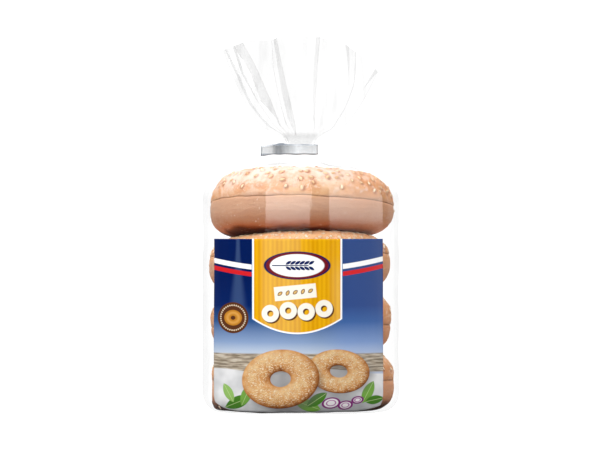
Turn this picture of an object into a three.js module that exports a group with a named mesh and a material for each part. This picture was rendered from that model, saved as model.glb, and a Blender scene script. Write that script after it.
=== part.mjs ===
// A clear film bag with four sliced bagels in one stack, gathered at the top and shut with a
// bent strip, and a printed panel round its front.
// Millimetres, +Z up. The origin is the centre of the flat underside, and the print faces -Y.
import * as THREE from "three";

// The stack inside, which sets the size of the bag. A bagel's outline is a superellipse that runs
// from its side in to the ring on which the next bagel lies.
const BAGEL_COUNT = 4;
const BAGEL_RADIUS = 49;
const BAGEL_PITCH = 33;
const RIDGE_RADIUS = 29;
const OUTLINE_POWER = 2.35;
const STACK_HEIGHT = BAGEL_COUNT * BAGEL_PITCH;

// The film round the stack.
const FILM_SLACK = 3.6; // how far it stands off the widest level of a bagel
const FILM_RADIUS = BAGEL_RADIUS + FILM_SLACK;
const BASE_RADIUS = 43.5; // the flat underside
const BASE_ROUNDING = 10.5; // height of the rounded bottom edge
const SHOULDER_START = STACK_HEIGHT - 19; // where the side turns in over the top bagel
const CROWN_HEIGHT = STACK_HEIGHT;
const SHOULDER_POWER = 2.3; // 2 is a round shoulder, more is squarer
const GATHER_RADIUS = 27; // inside it the film runs up to the neck
const GATHER_FOLD = 1.1; // half the depth of the folds that run to the neck
const FOLD_START = 6; // how far in from the side they begin

// The stack leans back more and more. Each level is the height on the axis of a plane across it,
// and the degrees by which that plane's front and right rise. The middle three are the joints of
// two bagels, and the last is the top.
const LEVELS = [
  { height: BASE_ROUNDING, front: 0, right: 0 },
  { height: 32.9, front: 1.8, right: -0.4 },
  { height: 64.2, front: 3.9, right: 1.3 },
  { height: 93.8, front: 5.9, right: 1.2 },
  { height: STACK_HEIGHT - 3.9, front: 5.3, right: -1 },
];

// The groove at each joint, which follows the two bagels. The print spans it flat.
const GROOVE_DEPTH = 14;
const GROOVE_LEFT = -62; // degrees from the front at which it starts, beside the print
const GROOVE_RIGHT = 57;
const GROOVE_RUN_IN = 15; // degrees to its full depth
const GROOVE_OVER_PRINT = 4.5; // height above the print by which it has its full depth

// The neck that the strip holds, and the tail that fans out above it.
const NECK_HALF_WIDTH = 7.8;
const NECK_HALF_DEPTH = 1.8;
const NECK_BOTTOM = 136.6;
const NECK_TOP = 143;
const TAIL_TOP = 200.5;
const TAIL_HALF_WIDTH = 41.5;
const TAIL_SPREAD = 0.42; // below 1 the sides run outwards first and then up
const TAIL_LEFT_DROP = 8; // how far the rim's ends lie below its middle
const TAIL_RIGHT_DROP = 19;
const TAIL_FOLDS = 5;
const TAIL_FOLD_DEPTH = 7.5; // half the depth of a fold at the rim
const TAIL_HALF_THICKNESS = 0.45; // of the front and back layers together

// The strip bent round the neck.
const STRIP_HEIGHT = 5.4;
const STRIP_HALF_THICKNESS = 0.42;
const WIRE_RADIUS = 0.75; // the ribs along both edges
const STRIP_MIDDLE = 140.3;
const STRIP_CLEARANCE = 0.35;
const STRIP_PINCH = 0.1; // half the gap between its two pressed ends
const STRIP_KINK = 6.5; // how far beside the neck the ends meet
const STRIP_TAIL = 7.2; // length of the ends past that kink
const STRIP_TAIL_TURN = 25; // degrees towards the front
const STRIP_TAIL_DROP = 0.8;

// The printed panel.
const PANEL_TOP = 92.6;
const PANEL_LEFT = -60.5; // degrees from the front
const PANEL_RIGHT = 55.5;
const PANEL_GAP = 0.3; // to the film
const PANEL_THICKNESS = 0.3;

// How finely the surfaces are divided.
const ROUND = 80; // points round the bag
const PANEL_STEPS = 26;
const BASE_ANGLES = [0, 14, 28, 46, 66, 90];
const PANEL_FIRST_ANGLE = 28;
const PANEL_ROWS = 6; // above the rounded bottom edge
const GROOVE_SHARES = [0, 0.07, 0.16, 0.28, 0.46, 0.7]; // of half a bagel's height, from a joint
const SHOULDER_STEPS = 6;
const GATHER_STEPS = 5;
const TAIL_STEPS = 11;

const radians = THREE.MathUtils.degToRad;
const mix = THREE.MathUtils.lerp;

// A closed solid through rings of points that all run the same way round, seen from the last
// ring anticlockwise. Each end is shut by joining point i of the ring to point n - i.
function loft(rings) {
  const n = rings[0].length;
  const last = (rings.length - 1) * n;
  const triangles = [];
  for (let r = 0; r < rings.length - 1; r++) {
    for (let i = 0; i < n; i++) {
      const a = r * n + i;
      const b = r * n + ((i + 1) % n);
      triangles.push(a, b, b + n, a, b + n, a + n);
    }
  }
  for (let i = 0; i < n / 2; i++) {
    const [a, b] = [i, i + 1];
    const [c, d] = [(n - i) % n, n - i - 1];
    if (b !== d) triangles.push(a, d, b, last + a, last + b, last + d);
    if (a !== c) triangles.push(a, c, d, last + a, last + d, last + c);
  }
  const geometry = new THREE.BufferGeometry().setFromPoints(rings.flat());
  geometry.setIndex(triangles);
  geometry.computeVertexNormals();
  return geometry;
}

// The rounded bottom edge, as [radius, height] pairs.
function baseProfile() {
  return BASE_ANGLES.map((angle) => [
    mix(BASE_RADIUS, FILM_RADIUS, Math.sin(radians(angle))),
    BASE_ROUNDING * (1 - Math.cos(radians(angle))),
  ]);
}

// The turn in over the top bagel as far as the gather, as [radius, height] pairs.
function shoulderProfile() {
  const rise = CROWN_HEIGHT - SHOULDER_START;
  const most = Math.acos((GATHER_RADIUS / FILM_RADIUS) ** (SHOULDER_POWER / 2));
  return Array.from({ length: SHOULDER_STEPS }, (_, i) => {
    const angle = (most * (i + 1)) / SHOULDER_STEPS;
    return [
      FILM_RADIUS * Math.cos(angle) ** (2 / SHOULDER_POWER),
      SHOULDER_START + rise * Math.sin(angle) ** (2 / SHOULDER_POWER),
    ];
  });
}

// The plane across the stack at a height on the axis, from the levels below and above it.
function planeAt(height) {
  const low = LEVELS.findLast((level) => level.height <= height) ?? LEVELS[0];
  const high = LEVELS.find((level) => level.height > height) ?? LEVELS.at(-1);
  const share = low === high ? 0 : (height - low.height) / (high.height - low.height);
  return { height, front: mix(low.front, high.front, share), right: mix(low.right, high.right, share) };
}

// How deep the groove is at a share of half a bagel's height from the joint.
function grooveDepth(share) {
  const outline = (1 - (1 - share) ** OUTLINE_POWER) ** (1 / OUTLINE_POWER);
  return Math.min(GROOVE_DEPTH, (BAGEL_RADIUS - RIDGE_RADIUS) * (1 - outline));
}

// How much of its depth the groove has at an angle round the bag and a height: none under the print.
function grooveShare(angle, z) {
  const fromFront = ((THREE.MathUtils.radToDeg(angle) + 270) % 360) - 180;
  const left = GROOVE_LEFT - fromFront;
  const right = fromFront - GROOVE_RIGHT;
  const beside = THREE.MathUtils.smoothstep(Math.max(left, right), 0, GROOVE_RUN_IN);
  const above = THREE.MathUtils.smoothstep(z - PANEL_TOP, PANEL_GAP, GROOVE_OVER_PRINT);
  return Math.max(beside, above);
}

// One ring of the bag below the tail: an ellipse in a tilted plane, with folds that lift and lower
// it, drawn in by a groove.
function bagRing(halfWidth, halfDepth, plane, fold = 0, groove = 0) {
  return Array.from({ length: ROUND }, (_, i) => {
    const angle = (2 * Math.PI * i) / ROUND;
    const lift = fold * Math.cos(13 * angle + 1.5 * Math.sin(3 * angle));
    const point = new THREE.Vector3(halfWidth * Math.cos(angle), halfDepth * Math.sin(angle), 0);
    point.z = plane.height + lift;
    point.z -= point.y * Math.tan(radians(plane.front));
    point.z += point.x * Math.tan(radians(plane.right));
    const inwards = 1 - (groove * grooveShare(angle, point.z)) / halfWidth;
    return point.multiply(new THREE.Vector3(inwards, inwards, 1));
  });
}

// The rings up the side, close together at each joint, from the bottom bagel's middle to the top's.
function sideRings() {
  const rings = [];
  const addRing = (height, share) => {
    rings.push(bagRing(FILM_RADIUS, FILM_RADIUS, planeAt(height), 0, grooveDepth(share)));
  };
  for (let b = 0; b < BAGEL_COUNT; b++) {
    const low = b > 0 ? LEVELS[b].height : 0;
    const high = LEVELS[b + 1].height;
    const half = (high - low) / 2;
    if (b > 0) GROOVE_SHARES.forEach((share) => addRing(low + share * half, share));
    addRing(low + half, 1);
    if (b < BAGEL_COUNT - 1) {
      GROOVE_SHARES.slice(1)
        .reverse()
        .forEach((share) => addRing(high - share * half, share));
    }
  }
  return rings;
}

// The middle of the tail's film: u runs from -1, left, to 1, right, and v from the neck to the rim.
function tailMiddle(u, v) {
  const start = (NECK_HALF_WIDTH / TAIL_HALF_WIDTH) ** (1 / TAIL_SPREAD);
  const halfWidth = TAIL_HALF_WIDTH * mix(start, 1, v) ** TAIL_SPREAD;
  const drop = (u < 0 ? TAIL_LEFT_DROP : TAIL_RIGHT_DROP) * Math.abs(u) ** 3;
  const depth = TAIL_FOLD_DEPTH * (halfWidth / TAIL_HALF_WIDTH) ** 1.8;
  const growth = Math.min(1, v / 0.15);
  const phase = Math.PI * TAIL_FOLDS * u + 0.9 * Math.sin(2.3 * u + 1);
  const uneven = 0.8 + 0.2 * Math.sin(4.1 * u + 0.7);
  return new THREE.Vector3(
    halfWidth * u,
    growth * depth * uneven * Math.sin(phase),
    mix(NECK_TOP, TAIL_TOP - drop, v),
  );
}

// One ring of the tail, where the front and back of the film lie against each other.
function tailRing(v) {
  const nearNeck = Math.max(0, 1 - v / 0.12);
  return Array.from({ length: ROUND }, (_, i) => {
    const share = (2 * i) / ROUND;
    const even = share <= 1 ? 1 - 2 * share : 2 * share - 3;
    const u = mix(even, Math.cos(Math.PI * share), nearNeck);
    const step = 0.004;
    const before = tailMiddle(u - step, v);
    const after = tailMiddle(u + step, v);
    const along = after.sub(before).setZ(0).normalize();
    const ends = Math.sqrt(Math.max(0, 1 - u ** 2));
    const flat = Math.min(1, 4 * ends);
    const half = mix(TAIL_HALF_THICKNESS * flat, NECK_HALF_DEPTH * ends, nearNeck);
    const side = share < 1 ? 1 : -1;
    const point = tailMiddle(u, v);
    point.x -= side * half * along.y;
    point.y += side * half * along.x;
    return point;
  });
}

function bag() {
  const rings = baseProfile().map(([radius, z]) => bagRing(radius, radius, planeAt(z)));
  rings.push(...sideRings());
  const shoulder = shoulderProfile();
  for (const [radius, z] of shoulder) {
    const inwards = FILM_RADIUS - radius;
    const grown = THREE.MathUtils.smoothstep(inwards, FOLD_START, FILM_RADIUS - GATHER_RADIUS);
    rings.push(bagRing(radius, radius, planeAt(z), GATHER_FOLD * grown));
  }
  const [radius, height] = shoulder.at(-1);
  const { front, right } = LEVELS.at(-1);
  for (let i = 1; i <= GATHER_STEPS; i++) {
    const g = i / GATHER_STEPS;
    const halfWidth = mix(radius, NECK_HALF_WIDTH, 1 - (1 - g) ** 1.6);
    const halfDepth = mix(radius, NECK_HALF_DEPTH, 1 - (1 - g) ** 1.4);
    const z = mix(height, NECK_BOTTOM, g ** 1.7);
    const plane = { height: z, front: front * (1 - g), right: right * (1 - g) };
    rings.push(bagRing(halfWidth, halfDepth, plane, GATHER_FOLD * (1 - g ** 2) * 0.8));
  }
  for (let i = 0; i <= TAIL_STEPS; i++) {
    rings.push(tailRing((i / TAIL_STEPS) ** 1.3));
  }
  return loft(rings);
}

// The strip's cross-section, from its top edge over the outer face, as [height, outwards] pairs.
function stripSection() {
  const edge = STRIP_HEIGHT / 2;
  const wire = edge - WIRE_RADIUS;
  const outer = [
    [edge - 0.12, 0.6 * WIRE_RADIUS],
    [wire + 0.2, WIRE_RADIUS],
    [wire - 0.35, 0.8 * WIRE_RADIUS],
    [wire - 0.75, STRIP_HALF_THICKNESS],
  ];
  const face = [...outer, ...outer.map(([z, out]) => [-z, out]).reverse()];
  const back = face.map(([z, out]) => [z, -out]).reverse();
  return [[edge, 0], ...face, [-edge, 0], ...back];
}

// The strip's route: its back end, round behind the neck, the right bend, and along the front.
function stripRoute() {
  const apart = NECK_HALF_DEPTH + STRIP_CLEARANCE + WIRE_RADIUS;
  const pressed = WIRE_RADIUS + STRIP_PINCH;
  const bendX = NECK_HALF_WIDTH + STRIP_CLEARANCE + WIRE_RADIUS - apart;
  const meetX = -NECK_HALF_WIDTH - STRIP_KINK;
  const turn = radians(STRIP_TAIL_TURN);
  const layer = (side) => {
    const tail = [1, 0.66, 0.33].map((share) => {
      const out = share * STRIP_TAIL;
      return new THREE.Vector3(
        meetX - out * Math.cos(turn) - side * pressed * Math.sin(turn),
        side * pressed * Math.cos(turn) - out * Math.sin(turn),
        -STRIP_TAIL_DROP * share,
      );
    });
    const held = [0, 0.3, 0.65, 1].map((share) => {
      const spread = THREE.MathUtils.smoothstep(share, 0, 1);
      return new THREE.Vector3(
        mix(meetX + 0.4, -NECK_HALF_WIDTH + 0.6, share),
        side * mix(pressed, apart, spread),
        0,
      );
    });
    const run = [0.35, 0.7].map(
      (share) => new THREE.Vector3(mix(-NECK_HALF_WIDTH + 0.6, bendX, share), side * apart, 0),
    );
    return [...tail, ...held, ...run];
  };
  const bend = [];
  const bendSteps = 8;
  for (let i = 0; i <= bendSteps; i++) {
    const angle = mix(Math.PI / 2, -Math.PI / 2, i / bendSteps);
    bend.push(new THREE.Vector3(bendX + apart * Math.cos(angle), apart * Math.sin(angle), 0));
  }
  return [...layer(1), ...bend, ...layer(-1).reverse()];
}

function strip() {
  const route = stripRoute();
  const rings = route.map((point, i) => {
    const before = route[Math.max(i - 1, 0)];
    const after = route[Math.min(i + 1, route.length - 1)];
    const along = after.clone().sub(before).setZ(0).normalize();
    return stripSection().map(
      ([z, out]) =>
        new THREE.Vector3(
          point.x + out * along.y,
          point.y - out * along.x,
          STRIP_MIDDLE + point.z + z,
        ),
    );
  });
  return loft(rings);
}

// The panel follows the film, a little outside it, from the rounded bottom edge upwards.
function panel() {
  const base = baseProfile();
  const first = BASE_ANGLES.indexOf(PANEL_FIRST_ANGLE);
  const rows = base.slice(first);
  for (let i = 1; i <= PANEL_ROWS; i++) {
    rows.push([FILM_RADIUS, mix(BASE_ROUNDING, PANEL_TOP, i / PANEL_ROWS)]);
  }
  const rings = rows.map(([radius, z], i) => {
    const [lowRadius, lowZ] = i ? rows[i - 1] : base[first - 1];
    const [highRadius, highZ] = rows[Math.min(i + 1, rows.length - 1)];
    const slope = new THREE.Vector2(highRadius - lowRadius, highZ - lowZ).normalize();
    const row = (offset) =>
      Array.from({ length: PANEL_STEPS + 1 }, (_, k) => {
        const angle = radians(mix(PANEL_LEFT, PANEL_RIGHT, k / PANEL_STEPS) - 90);
        const out = radius + offset * slope.y;
        return new THREE.Vector3(
          out * Math.cos(angle),
          out * Math.sin(angle),
          z - offset * slope.x,
        );
      });
    const outer = row(PANEL_GAP + PANEL_THICKNESS);
    const inner = row(PANEL_GAP).reverse();
    return [...outer, ...inner];
  });
  return loft(rings.map((ring) => [...ring.slice(-1), ...ring.slice(0, -1)]));
}

function solid(name, geometry, colour, roughness, metalness) {
  const material = new THREE.MeshStandardMaterial({ color: colour, roughness, metalness });
  const mesh = new THREE.Mesh(geometry, material);
  mesh.name = name;
  return mesh;
}

const bagOfBagels = new THREE.Group();
bagOfBagels.add(
  solid("bag", bag(), 0xe0b48c, 0.3, 0),
  solid("print_panel", panel(), 0x1f3f80, 0.35, 0),
  solid("closure_strip", strip(), 0xc8c8c8, 0.35, 0.6),
);

export default bagOfBagels;
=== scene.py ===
"""A clear bag of four sliced sesame bagels, standing on its base, with a printed front and a strip
round its neck. Lengths are in millimetres, except in the studio, and meshes get them in metres."""

import math
import random

import bpy
import numpy as np
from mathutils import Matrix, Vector, kdtree, noise

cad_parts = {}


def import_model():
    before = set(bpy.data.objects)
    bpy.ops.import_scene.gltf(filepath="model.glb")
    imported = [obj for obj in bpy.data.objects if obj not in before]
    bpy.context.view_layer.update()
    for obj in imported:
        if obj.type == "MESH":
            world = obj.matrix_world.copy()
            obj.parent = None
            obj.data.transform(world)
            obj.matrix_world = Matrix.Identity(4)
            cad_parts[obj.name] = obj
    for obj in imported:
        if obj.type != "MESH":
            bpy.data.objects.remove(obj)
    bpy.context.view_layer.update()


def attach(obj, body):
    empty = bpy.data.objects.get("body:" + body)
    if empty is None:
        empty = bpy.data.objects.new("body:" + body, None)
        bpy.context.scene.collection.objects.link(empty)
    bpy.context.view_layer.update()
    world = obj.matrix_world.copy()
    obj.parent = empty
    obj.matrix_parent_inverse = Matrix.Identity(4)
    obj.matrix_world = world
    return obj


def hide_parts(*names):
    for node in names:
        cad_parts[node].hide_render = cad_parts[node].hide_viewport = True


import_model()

MM = 0.001
FRONT = -90.0  # degrees: the direction the print faces

# The photograph: its size in pixels, what a pixel measures and where the base's middle stands in it.
PHOTO_WIDTH = 600
PHOTO_HEIGHT = 450
MM_PER_PIXEL = 0.5355
AXIS_PIXEL = (300.6, 411.5)

# The stack.
BAGEL_RADIUS = 49.0
BAGEL_PITCH = 33.0
BAGEL_COUNT = 4
STACK_HEIGHT = BAGEL_COUNT * BAGEL_PITCH
HOLE_RADIUS = 10.0

# The film, as in the solids.
FILM_RADIUS = BAGEL_RADIUS + 3.6
BASE_RADIUS = 43.5
BASE_ROUNDING = 10.5
SHOULDER_START = STACK_HEIGHT - 19.0
CROWN_HEIGHT = STACK_HEIGHT
SHOULDER_POWER = 2.3
GATHER_RADIUS = 27.0
NECK_HALF_WIDTH = 7.8
NECK_HALF_DEPTH = 1.8
NECK_BOTTOM = 136.6
NECK_TOP = 143.0
TAIL_TOP = 200.5
TAIL_HALF_WIDTH = 41.5
TAIL_SPREAD = 0.42
TAIL_LEFT_DROP = 8.0
TAIL_RIGHT_DROP = 19.0
TAIL_HALF_GAP = 0.35

# The film, too fine for the solids.
UNDERSIDE_RADII = (4, 12, 20, 28, 34)
UNDERSIDE_HEIGHT = 0.2
CREASE_WIDTH = 11.0
CREASE_HEIGHT = 60.0
PLEAT_HEIGHT = 1.3
BACK_SAG = 2.2  # how far the back is drawn in between two bagels
TAIL_OPENING = 4.5  # half the gap between the tail's layers at the rim's middle
FOLD_DEPTH_SHARE = 0.55  # of a fold's width
RIM_RAGGED = 1.0
# The folds of the tail's front and back film. Each is its places across at five levels up the tail,
# as shares of half the tail's width there, and its widths in millimetres.
FOLD_LEVELS = (0.05, 0.25, 0.42, 0.7, 1.0)
FRONT_FOLDS = (
    ((-0.74, -0.85, -0.92, -0.925, -0.965), (0.9, 1.8, 1.8, 1.7, 1.5)),
    ((-0.52, -0.53, -0.635, -0.69, -0.81), (0.3, 1.2, 6.4, 5.0, 6.0)),
    ((-0.34, -0.37, -0.385, -0.40, -0.37), (0.5, 1.0, 0.7, 0.5, 0.6)),
    ((0.50, 0.30, 0.253, 0.222, 0.228), (0.7, 1.1, 1.8, 2.8, 3.0)),
    ((0.80, 0.80, 0.78, 0.72, 0.60), (0.1, 0.1, 0.1, 0.2, 2.6)),
)
BACK_FOLDS = (
    ((-0.64, -0.70, -0.78, -0.85, -0.86), (0.2, 0.2, 0.4, 1.6, 1.6)),
    ((-0.15, -0.22, -0.262, -0.30, -0.33), (1.6, 4.6, 4.6, 3.4, 2.4)),
    ((0.84, 0.80, 0.82, 0.80, 0.71), (0.9, 0.7, 0.7, 0.6, 0.6)),
    ((0.95, 0.93, 0.93, 0.935, 0.985), (0.05, 0.05, 0.05, 0.1, 1.5)),
)

# The film's look: the share of gloss, and of the light that a layer keeps back.
FILM_GLOSS = 0.062
JOINT_GLOSS = 0.012  # just above the print, where the film is drawn in
TAIL_GLOSS = 0.012  # over the crown and in the tail, whose folds look grey
EDGE_GLOSS = 0.08  # added below the crown where the film is seen edge on
FILM_LOSS = 0.015
BODY_EDGE_LOSS = 0.22  # added where the film is seen edge on, up to a limit
BODY_LOSS_LIMIT = 0.078
NECK_LOSS = 0.13
TAIL_LOSS = (0.062, 0.094)  # at its clear and its cloudy places
TAIL_EDGE_LOSS = 0.16
ABOVE_PRINT = (98.5, 104.5)  # heights between which one gloss passes into the next
OVER_CROWN = (113.0, 125.0)

# The strip.
STRIP_HEIGHT = 5.4
STRIP_HALF_THICKNESS = 0.42
WIRE_RADIUS = 0.75
RIB_HEIGHT = 0.1  # over each wire
EDGE_ROUNDING = 0.25
STRIP_MIDDLE = 140.3
STRIP_CLEARANCE = 0.35
STRIP_PINCH = 0.1
STRIP_KINK = 6.5
STRIP_TAIL = 7.2
STRIP_TAIL_TURN = 25.0
STRIP_TAIL_DROP = 0.8
STRIP_BACK_LIFT = 0.9
STRIP_BULGE = 1.5  # how far the front run stands out in its middle
# Painted light along the front run: places across, and the tone at each, with a painted highlight in
# the middle and painted shade in the creases at the kink.
STRIP_PAINTED_LIGHT = (
    (-21.5, -16.0, -13.0, -10.0, -6.0, 1.0, 5.0, 8.0, 9.5),
    (1.1, 0.9, 0.1, 0.25, 0.6, 1.15, 1.15, 0.95, 0.8),
)
# Painted shade on the back run, behind the neck.
STRIP_BACK_SHADE = 0.3

# Planes under, between and over the bagels: height on the axis, and the degrees that the front and
# the right side rise.
PLANES = (
    (0.45, 0.0, 0.0), (32.9, 1.8, -0.4), (64.2, 3.9, 1.3), (93.8, 5.9, 1.2), (128.1, 5.3, -1.0),
)
TOUCH_GAP = 0.2  # between two bagels
CUT_GAP = 0.12  # half the gap between a bagel's halves
CUT_WAVER = 0.22  # how far the knife's cut waves up and down
BASE_CORNER = 5.0  # how much squarer the bottom bagel's left lower edge is
# Bottom to top: radius, middle across, where the section is widest, the cut over the base and how
# far it rises to the right, how square the section is above and below, and its seeds on top. The top
# bagel's mesh is finer.
BAGELS = [
    dict(
        number=n, radius=r, x=x, belly=b, cut=c, cut_right_up=t, above=u, below=d, seeds=q,
        low=PLANES[n - 1], high=PLANES[n], fine=2 if n == BAGEL_COUNT else 1,
    )
    for n, (r, x, b, c, t, u, d, q) in enumerate((
        (49.2, 1.1, 0.54, 16.6, 0.4, 2.6, 3.3, 330), (48.6, 0.2, 0.56, 12.8, 0.9, 2.25, 3.3, 330),
        (48.6, -0.4, 0.50, 19.0, 1.0, 2.7, 2.5, 430), (48.9, 0.4, 0.40, 16.8, -1.0, 2.35, 2.4, 290),
    ), 1)
]

# The crust's colours, from 0 at a bagel's base to 1 at its top.
CRUST_COLOURS = (
    (0.0, (100, 42, 18)), (0.025, (150, 74, 34)), (0.055, (204, 120, 74)), (0.13, (212, 146, 106)),
    (0.32, (218, 169, 137)), (0.46, (222, 171, 137)), (0.54, (236, 182, 134)),
    (0.70, (242, 197, 154)), (0.88, (243, 201, 160)),
)
CRUST_TONE = 0.78  # what they are multiplied by

# The seeds.
SEED_LENGTH = 2.75
SEED_WIDTH = 1.7
SEED_THICKNESS = 0.95
SEED_SPACING = 3.2
SEED_REACH = (0.03, 0.86)  # shares of the way from the cut over the top and into the hole
SEED_FADE = 0.28  # up to this share they are fewer
SEEDS_BELOW = 4  # on each bagel's lower half, with their own spacing and reach
SEED_SPACING_BELOW = 5.0
SEED_REACH_BELOW = (0.02, 0.24)
SEED_LIFT = 0.12
SEED_SHADE = Vector((0.35, 0.0, -0.45))  # from a seed to the middle of its shade
SEED_DRAW = 47  # starts the random numbers
SEED_COLOURS = (
    (0.0, (240, 222, 196)), (0.25, (226, 198, 162)), (0.85, (212, 174, 132)), (1.0, (192, 144, 98)),
)

# The print: its edges in degrees round the front and in height, then what is on it.
PANEL_LEFT = -60.5
PANEL_RIGHT = 55.5
PANEL_START = 1.6
PANEL_TOP = 92.6
PANEL_LIFT = 0.12
PRINT_THICKNESS = 0.08
PRINT_TONES = (0.70, 0.80)  # what every colour is multiplied by, on the left and on the right; the right's lighter tone is painted reflection
CREAM = (270, 264, 250)  # over 255, because the tones darken it
WHITE = (275, 275, 275)
BROWN = (96, 54, 30)
DARK_RED = (126, 22, 34)
NAVY = (0, 30, 92)
RED = (226, 36, 44)
SKY_COLOURS = (
    (0.26, (220, 224, 230)), (0.355, (200, 214, 234)), (0.414, (146, 172, 212)),
    (0.53, (50, 90, 148)), (0.62, (0, 34, 100)), (0.80, (0, 28, 90)),
)
WOOD_COLOURS = ((0.35, (140, 126, 108)), (0.5, (178, 164, 144)), (0.68, (220, 208, 190)))
CLOTH_COLOURS = ((0.35, (216, 217, 219)), (0.65, (244, 244, 245)))
BREAD_COLOURS = (
    (0.05, (112, 62, 30)), (0.3, (176, 112, 60)), (0.55, (222, 164, 104)), (0.8, (244, 206, 152)),
    (1.0, (252, 228, 188)),
)
LEAF_GREENS = ((74, 132, 40), (120, 172, 72), (150, 194, 104))
# Each leaf: middle across and up, length, width, turn and which green.
LEAVES = (
    (-33.0, 6.6, 15.0, 6.4, 24, 0), (-28.5, 10.6, 13.0, 5.4, 66, 1), (-38.0, 11.4, 11.0, 4.8, 118, 2),
    (3.5, 5.4, 15.0, 6.2, -20, 1), (8.5, 8.2, 13.0, 5.4, 34, 0), (35.5, 11.8, 13.0, 5.6, 62, 1),
    (39.0, 7.6, 10.0, 4.6, 10, 0),
)
ONIONS = ((16.0, 6.4, 4.4), (23.5, 5.2, 3.5), (30.0, 7.8, 2.8))  # middle across and up, and radius
YELLOW_MIDDLE = -1.8
YELLOW_HALF_WIDTH = 23.7
YELLOW_BOTTOM = 42.5
YELLOW_RISE = 8.0  # of its lower edge, from the middle to its sides
PLATE_HEIGHT = 78.6
TAG = (YELLOW_MIDDLE - 1.0, 64.6)
TAG_TURN = 5.5
TAG_STEP = 4.0
BADGE = (-35.6, 51.0)
BADGE_DOTS = 18
DOT_RING = 6.6

# The studio, in metres. Lights: name, degrees to the right, degrees up, distance, size and radiance.
SOFTBOXES = (
    ("front_left", -36.0, 32.0, 1.3, (1.46, 2.0), 2.1),
    ("right", 72.0, 20.0, 1.2, (2.19, 2.0), 0.42),
    ("overhead", -60.0, 70.0, 1.2, (0.9, 0.9), 1.5),
)
# Tall boxes that only gloss sees: they make the two pale bands down the film.
REFLECTIONS = (
    ("band_left", -15.0, 0.0, 1.3, (1.345, 12.0), 3.2),
    ("band_right", 71.7, 0.0, 1.2, (1.889, 12.0), 3.1),
)
LIGHT_AIM = Vector((0, 0, 0.09))
SKY = (0.15, 1.3)  # how bright it is at the horizon and overhead
GLOSS_AROUND = (0.2, 1.2)  # what gloss reflects, from the camera's side to behind the bag
GLOSS_ABOVE = 1.0
BACKDROP = 1.2  # a white that is overexposed, as in the photograph
FLOOR_ALBEDO = 0.5
FLOOR_HALF = 30.0
CAMERA_DISTANCE = 2.5
SENSOR_WIDTH = 36.0  # millimetres, as Blender has it


def lerp(a, b, t):
    return a + (b - a) * t


def smoothstep(low, high, x):
    t = np.clip((x - low) / (high - low), 0.0, 1.0)
    return t * t * (3.0 - 2.0 * t)


def rise_by(degrees):
    return math.tan(math.radians(degrees))


# ---- meshes

def placed(name, data):
    """A new object in the scene."""
    made = bpy.data.objects.new(name, data)
    bpy.context.scene.collection.objects.link(made)
    return made


def mesh_object(name, points, faces, materials, smooth=True):
    """A mesh object from points in millimetres."""
    mesh = bpy.data.meshes.new(name)
    mesh.from_pydata((np.asarray(points) * MM).tolist(), [], faces)
    mesh.validate()
    mesh.update()
    mesh.polygons.foreach_set("use_smooth", [smooth] * len(mesh.polygons))
    for surface in materials:
        mesh.materials.append(surface)
    return placed(name, mesh)


def grid_faces(rows, columns, closed_row, closed_column=False):
    """Quads between rows of points. A closed row or column joins its last point to its first."""
    faces = []
    for r in range(rows if closed_column else rows - 1):
        for c in range(columns if closed_row else columns - 1):
            here, after = r * columns, (r + 1) % rows * columns
            d = (c + 1) % columns
            faces.append((here + c, here + d, after + d, after + c))
    return faces


def stacked(x, y, z):
    """An array of points from arrays of their coordinates."""
    return np.stack(np.broadcast_arrays(x, y, z), -1)


def value_noise(points, size, seed):
    """Smooth noise from -1 to 1 at each point of an array, with features of that size."""
    shift = Vector((seed * 17.3, seed * 5.1, seed * 9.7))
    values = [noise.noise(Vector(p) / size + shift) for p in points.reshape(-1, 3)]
    return np.reshape(values, points.shape[:-1])


def give_attribute(piece, name, values):
    data = piece.data.attributes.new(name, "FLOAT", "POINT").data
    data.foreach_set("value", np.asarray(values, np.float32))


# ---- materials

def arithmetic(operation, swapped=False):
    """A method that makes a Math node of a value and what stands beside it."""
    def method(value, *others):
        terms = (value, *others)
        return value.nodes.math(operation, *(terms[::-1] if swapped else terms))
    return method


class Value:
    """What a node gives. Python's arithmetic on it makes Math nodes."""

    def __init__(self, nodes, socket):
        self.nodes = nodes
        self.socket = socket

    def other(self, output):
        """Another output of the same node."""
        return Value(self.nodes, self.socket.node.outputs[output])

    __add__ = __radd__ = arithmetic("ADD")
    __sub__ = arithmetic("SUBTRACT")
    __rsub__ = arithmetic("SUBTRACT", swapped=True)
    __mul__ = __rmul__ = arithmetic("MULTIPLY")
    __truediv__ = arithmetic("DIVIDE")
    __pow__ = arithmetic("POWER")
    __abs__ = arithmetic("ABSOLUTE")


def linear(colour):
    """A colour given as 0 to 255 on screen, in the renderer's values. A Value stays as it is."""
    if isinstance(colour, Value):
        return colour
    shares = (value / 255.0 for value in colour)
    return *(v / 12.92 if v <= 0.04045 else ((v + 0.055) / 1.055) ** 2.4 for v in shares), 1.0


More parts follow.
